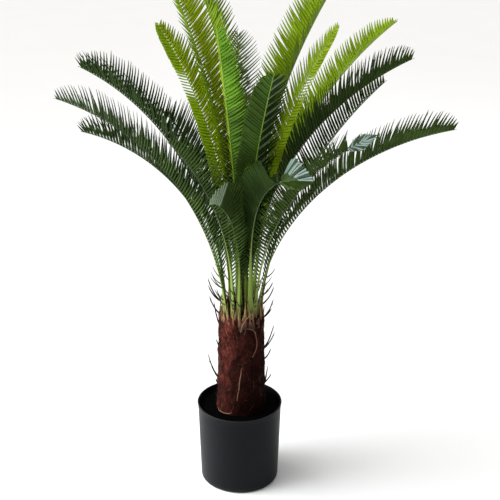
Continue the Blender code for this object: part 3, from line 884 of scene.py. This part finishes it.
def leaflet_length(frond, half, share):
    """Leaflets start short above the petiole and shorten again to a rounded end at the tip. A
    twist's waist pinches them too."""
    blade = blade_share(frond, share)
    swell = FOOT_REACH + (1.0 - FOOT_REACH) * math.sin(math.pi / 2 * clamp(blade / SWELL_END))
    if frond.twist:
        beyond = share > frond.twist.waist
        run = WAIST_ABOVE if beyond else WAIST_BELOW
        waist = max(0.0, 1.0 - abs(share - frond.twist.waist) / run)
        reach = frond.twist.reach if beyond else frond.reach[half]
        return LEAFLET_LENGTH * reach * swell * (1.0 - WAIST_PINCH * waist)
    close = max(0.0, 1.0 - blade ** frond.taper[half])
    return LEAFLET_LENGTH * frond.reach[half] * swell * (TIP_REACH + (1.0 - TIP_REACH) * close)


def add_rib(points, faces, frond):
    """The frond's rib: rounded outside, with a shallow gutter on its leaf side."""
    bare = BARE / frond.length
    shares = [bare * k / PETIOLE_STEPS for k in range(PETIOLE_STEPS + 1)]
    shares += [bare + (1 - bare) * k / RACHIS_STEPS for k in range(1, RACHIS_STEPS + 1)]
    outline = []
    for k in range(RIB_SIDES):
        a = math.tau * k / RIB_SIDES
        x, y = math.cos(a), math.sin(a)
        outline.append((x, y * 0.55 - 0.30 * (1 - x * x) ** 2 if y > 0.1 else y))
    start = len(points)
    for share, (spot, along, normal, across) in zip(shares, rib_frames(frond, shares)):
        width, thickness = rib_section(frond, share)
        sheath = 1.0 + SHEATH * max(0.0, 1.0 - share / SHEATH_END)
        for x, y in outline:
            aside = across * x * width * sheath / 2
            points.append(spot + aside + normal * y * thickness * sheath / 2)
    last = start + (len(shares) - 1) * RIB_SIDES
    faces += ring_faces(start, len(shares) - 1, RIB_SIDES)
    faces.append(tuple(start + k for k in reversed(range(RIB_SIDES))))
    faces.append(tuple(last + k for k in range(RIB_SIDES)))


# Breadth at each share of a leaflet's length: old leaflets taper, young ones have a longer
# point, and where they are moulded broad they close up to a smooth blade.
OLD_OUTLINE = ((0.0, 0.85), (0.08, 1.12), (0.24, 1.26), (0.46, 1.00), (0.72, 0.62), (0.92, 0.28))
YOUNG_OUTLINE = ((0.0, 0.75), (0.06, 0.95), (0.22, 1.18), (0.46, 0.98), (0.72, 0.60), (0.92, 0.26))
FUSED_OUTLINE = ((0.0, 0.9), (0.07, 1.0), (0.30, 1.0), (0.60, 1.0), (0.84, 0.92), (0.95, 0.70))
FUSED_FROM = 1.45
FUSED_RELIEF = 0.20
FUSED_STRAY = 0.15


def add_leaflet(points, faces, outline, foot, aim, face_up, length, width, sweep, droop):
    """A narrow pointed blade with a raised middle, which curves a little in its own plane."""
    start = len(points)
    relief = FUSED_RELIEF if outline == FUSED_OUTLINE else 1.0
    aside = face_up.cross(aim)
    for share, breadth in outline:
        centre = foot + aim * length * share
        centre += (aside * sweep + face_up * droop) * length * share * share
        half, ridge = width * breadth / 2, LEAFLET_THICKNESS * (1.1 - share) * relief
        points.append(centre - aside * half)
        points.append(centre + face_up * ridge)
        points.append(centre + aside * half)
        points.append(centre - face_up * ridge * 0.5)
    points.append(foot + (aim + aside * sweep + face_up * droop) * length)
    rows = len(outline) - 1
    faces += ring_faces(start, rows, 4)
    faces += tip_faces(start + rows * 4, 4, len(points) - 1)


SPARSE_FOOT = 0.3
SPARSE_END = 0.35
TWIST_CROWDING = 0.55


def leaflet_shares(frond, half):
    """Where a row's leaflets stand along the rib: sparser low down, crowded past a twist."""
    share, shares = BARE / frond.length + 0.5 * half * LEAFLET_PITCH / frond.length, []
    while share < LAST_LEAFLET:
        shares.append(share)
        sparse = SPARSE_FOOT * max(0.0, 1.0 - blade_share(frond, share) / SPARSE_END)
        if frond.twist and share > frond.twist.waist:
            sparse = -TWIST_CROWDING
        share += LEAFLET_PITCH * (1.0 + sparse) / frond.length
    return shares


FAN_FOOT = 36
FAN_LOW = 68
FAN_HIGH = 60
FAN_FOOT_END = 0.24
FAN_TIP_CLOSE = 6.0
FAN_TIP_FROM = 0.88
FAN_TIP_RUN = 0.12


def leaflet_opening(blade):
    """Angle from rib to leaflet: small at the foot of the blade and closing a little to its tip."""
    opening = FAN_LOW + (FAN_HIGH - FAN_LOW) * blade
    opening = opening - FAN_TIP_CLOSE * max(0.0, (blade - FAN_TIP_FROM) / FAN_TIP_RUN)
    return opening - (FAN_LOW - FAN_FOOT) * max(0.0, 1.0 - blade / FAN_FOOT_END)


STRIP_FROM = 2.0
STRIP_GAP = 0.55
STRIP_SWELL = 1.65
STRIP_BAND = 0.75
LOBE_FROM = 0.77
BAND_TO = 0.73
STRIP_EDGE = 0.08
FULL_AT = 0.6


def leaflet_breadth(frond, half, blade):
    """Leaflets broaden to their row's fullness. The narrow strips beside two young ribs are
    closed up near the tip and again lower down, with an open comb between."""
    if frond.full[half] > STRIP_FROM:
        lobe = clamp((blade - LOBE_FROM) / STRIP_EDGE)
        band = clamp((BAND_TO - blade) / STRIP_EDGE)
        return STRIP_GAP + STRIP_SWELL * max(lobe, STRIP_BAND * band)
    return 1.0 + (frond.full[half] - 1.0) * min(1.0, blade / FULL_AT)


# Rows darken towards the petiole: up to each share of the blade they have this tint instead.
FADES = {
    "old": ((0.05, "moss"), (0.18, "mid")),
    "young": ((0.17, "moss"), (0.30, "mid")),
    "emerald": ((0.17, "moss"), (0.40, "mid"), (0.66, "grass")),
    "sage": ((0.60, "slate"),),
}
HIGHLIGHT_TIP_FROM = 0.80


def leaflet_tint(frond, half, index, blade, twisted):
    """The name of a leaflet's tint."""
    tint, third = frond.tints[half], index % 3 == 0
    faded = blade + dice.gauss(0, 0.04)
    # Past a twist the pale tint is a painted sheen, and each third leaflet in it is darker as a streak.
    if twisted:
        tint = frond.twist.tints[half]
        return "slate" if third and tint == "frost" else tint
    # Painted highlight stripes: each third leaflet of this row is pale, the rest deep.
    if tint == "striped":
        return "sage" if third else "deep"
    # Painted highlight: the end of this row is pale, the rest moss.
    if tint == "tipped":
        return "mist" if blade > HIGHLIGHT_TIP_FROM else "moss"
    for limit, darker in FADES.get(tint, FADES["young" if is_light(frond) else "old"]):
        if faded < limit:
            return darker
    return tint


TWIST_FOLD = 8
TWIST_BREADTH = 1.5
SLENDER_FOOT = 0.52
SLENDER_END = 0.4
FAN_SPREAD = 1.3
FOLD_SPREAD = 2.6
DROOP = -0.02
DROOP_SPREAD = 0.01
CURVE = 0.10


def add_leaflets(points, faces, tints, frond):
    """Both rows of a frond's leaflets, each a little different in length and angle."""
    for side, half in ((-1, 0), (1, 1)):
        outline, stray = YOUNG_OUTLINE if is_light(frond) else OLD_OUTLINE, 1.0
        if frond.full[half] > FUSED_FROM:
            outline, stray = FUSED_OUTLINE, FUSED_STRAY
        shares = leaflet_shares(frond, half)
        for index, (spot, along, normal, across) in enumerate(rib_frames(frond, shares)):
            share = shares[index]
            blade = blade_share(frond, share)
            width, thickness = rib_section(frond, share)
            opening, fold = leaflet_opening(blade), frond.fold[half]
            breadth = leaflet_breadth(frond, half, blade)
            twisted = frond.twist and share > frond.twist.waist
            if twisted:
                beyond = (share - frond.twist.waist) / (1.0 - frond.twist.waist)
                opening, fold = frond.twist.fan[half] * (1.0 - beyond), TWIST_FOLD
                breadth = TWIST_BREADTH
            fan = math.radians(opening + dice.gauss(0, FAN_SPREAD) * stray)
            rise = math.radians(fold + dice.gauss(0, FOLD_SPREAD) * stray)
            outward = across * side * math.cos(rise) + normal * math.sin(rise)
            aim = along * math.cos(fan) + outward * math.sin(fan)
            face_up = (normal * math.cos(rise) - across * side * math.sin(rise)).normalized()
            foot = spot + across * side * width * 0.38 + normal * thickness * 0.10
            length = leaflet_length(frond, half, share) * dice.uniform(0.96, 1.02)
            forward = side * CURVE * (1 if face_up.cross(aim).dot(along) * side > 0 else -1)
            slender = SLENDER_FOOT + (1.0 - SLENDER_FOOT) * min(1.0, blade / SLENDER_END)
            broad = LEAFLET_WIDTH * breadth * slender * dice.uniform(0.96, 1.04)
            droop = DROOP + dice.gauss(0.0, DROOP_SPREAD) * stray
            add_leaflet(points, faces, outline, foot, aim, face_up, length, broad, forward, droop)
            if twisted and frond.twist.dark_foot:
                tints += ["moss"] * (4 + index % 3 * 2)
            tint = leaflet_tint(frond, half, index, blade, twisted)
            tints += [tint] * (len(faces) - len(tints))


def leaf_finish(name, color, glow, through, gloss):
    """Satin moulded leaf: clouded green with a fine grain and some light through the blade."""
    material, place, shader = new_finish(name)
    cloud = place.spots(22.0, 3.0)
    grain = place.spots(1400.0, 2.0)
    pale = tuple(min(1.0, c * 1.28 + 0.004) for c in color)
    dim = tuple(c * 0.74 for c in color)
    varied = {
        "Base Color": cloud.ramp(0.3, 0.7).between(dim, pale),
        "Roughness": 0.34 + cloud * 0.12 + grain * 0.08,
        "Normal": (grain * 0.6 + cloud * 0.4).bump(0.15, 0.0003),
    }
    dress(material, place, shader, varied, gloss)
    tree = place.tree
    out = tree.nodes["Material Output"]
    shine = place.node("BsdfTranslucent", {}, {"Color": (*glow, 1.0)})
    solid = Tap(tree, shader.outputs[0])
    both = place.node("MixShader", {}, {0: through, 1: solid, 2: shine})
    tree.links.new(both.socket, out.inputs["Surface"])
    return material


LEAF_COLORS = {
    "deep": ((0.019, 0.040, 0.006), (0.042, 0.100, 0.007), 0.15, 0.04),
    "slate": ((0.036, 0.060, 0.028), (0.045, 0.100, 0.025), 0.12, 0.18),
    "moss": ((0.040, 0.075, 0.012), (0.075, 0.150, 0.010), 0.17, 0.06),
    # A pale blue-grey with high gloss that paints the sheen on the twisted tips.
    "frost": ((0.170, 0.270, 0.225), (0.120, 0.220, 0.110), 0.12, 0.8),
    # A grey green, which also paints the pale highlight stripes on one frond.
    "sage": ((0.150, 0.220, 0.105), (0.120, 0.220, 0.065), 0.16, 0.20),
    # A pale grey green that paints the highlight on one frond's tip.
    "mist": ((0.320, 0.440, 0.275), (0.200, 0.300, 0.140), 0.14, 0.30),
    "grass": ((0.092, 0.205, 0.015), (0.160, 0.370, 0.011), 0.27, 0.12),
    "emerald": ((0.150, 0.340, 0.016), (0.250, 0.560, 0.012), 0.34, 0.15),
    "mid": ((0.052, 0.110, 0.013), (0.090, 0.210, 0.010), 0.2, 0.10),
    "fresh": ((0.230, 0.350, 0.018), (0.370, 0.540, 0.014), 0.40, 0.2),
    "lime": ((0.330, 0.460, 0.018), (0.620, 0.800, 0.016), 0.45, 0.2),
    "olive": ((0.300, 0.390, 0.008), (0.520, 0.640, 0.008), 0.42, 0.15),
}
TINTS = {name: leaf_finish("leaf_" + name, *look) for name, look in LEAF_COLORS.items()}


def rib_finish(name, foot_color, color):
    """Rib plastic: brown where it leaves the trunk, then pale green, then its frond's green."""
    material, place, shader = new_finish(name)
    height = place.axis("Z")
    cloud = place.spots(60.0, 3.0)
    streaks = place.stretched((500.0, 500.0, 30.0)).spots(1.0, 3.0)
    up = (height + cloud * 0.02).ramp(0.420, 0.560)
    foot = streaks.between(tuple(c * 0.75 for c in foot_color), foot_color)
    brown = 1.0 - (height + cloud * 0.030 + streaks * 0.012).ramp(0.350, 0.376)
    pale = up.between(foot, color)
    varied = {
        "Base Color": (brown * 0.85).between(pale, (0.095, 0.056, 0.022)),
        "Roughness": 0.36 + streaks * 0.16,
        "Normal": (streaks * 0.7 + cloud * 0.3).bump(0.25, 0.0005),
    }
    return dress(material, place, shader, varied, 0.25)


PALE_FOOT = (0.205, 0.300, 0.043)
rib_dark = rib_finish("rib_dark", PALE_FOOT, (0.042, 0.072, 0.020))
rib_light = rib_finish("rib_light", PALE_FOOT, (0.150, 0.280, 0.020))
for frond in FRONDS:
    points, faces, tints = [], [], []
    add_leaflets(points, faces, tints, frond)
    used = sorted(set(tints))
    numbers = [used.index(tint) for tint in tints]
    blade = add_piece(frond.name + "_leaflets", points, faces, [TINTS[t] for t in used], numbers)
    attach(blade, "root")
    light = is_light(frond)
    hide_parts(frond.name)
for name, shade, kind in (("ribs_dark", rib_dark, False), ("ribs_light", rib_light, True)):
    points, faces = [], []
    for frond in FRONDS:
        if (is_light(frond) or frond.name == "frond_heart_front") == kind:
            add_rib(points, faces, frond)
    ribs = add_piece(name, points, faces, [shade])
    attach(ribs, "root")


# The spines: stiff tapering thorns on the outer petioles, moulded with them and mottled in
# brown and olive. They point away from the trunk and curl upwards.
SPINE_SHARES = (0.045, 0.065, 0.085, 0.11, 0.135)
SPINE_GAPS = 0.68
SPINE_WIDTH = 0.0013
SPINE_STEPS = 6


def spine_finish():
    """Brown plastic with olive patches."""
    material, place, shader = new_finish("spine_plastic")
    cloud = place.spots(90.0, 3.0)
    varied = {
        "Base Color": cloud.ramp(0.35, 0.65).between((0.030, 0.014, 0.009), (0.100, 0.085, 0.032)),
        "Roughness": 0.45 + cloud * 0.2,
        "Normal": place.spots(900.0, 2.0).bump(0.2, 0.0004),
    }
    return dress(material, place, shader, varied, 0.4)


points, faces = [], []
for frond in FRONDS:
    if frond.ring != "outer":
        continue
    frames = rib_frames(frond, SPINE_SHARES)
    for share, (spot, along, normal, across) in zip(SPINE_SHARES, frames):
        for side in (-1, 1):
            if dice.random() < SPINE_GAPS:
                continue
            width, _ = rib_section(frond, share)
            foot = spot + across * side * width * 0.42
            outward = (-normal * 0.8 + across * side * dice.uniform(0.1, 0.6)).normalized()
            length = dice.uniform(0.016, 0.034)
            path = []
            for k in range(SPINE_STEPS + 1):
                t = k / SPINE_STEPS
                out, ahead = 0.75 * t - 0.2 * t * t, 0.5 * t + 0.45 * t * t
                path.append(foot + outward * length * out + along * length * ahead)
            radii = [SPINE_WIDTH * (1 - 0.11 * k) for k in range(SPINE_STEPS + 1)]
            add_tube(points, faces, path, radii, 5)
spines = add_piece("petiole_spines", points, faces, [spine_finish()])
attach(spines, "root")

bpy.context.view_layer.update()
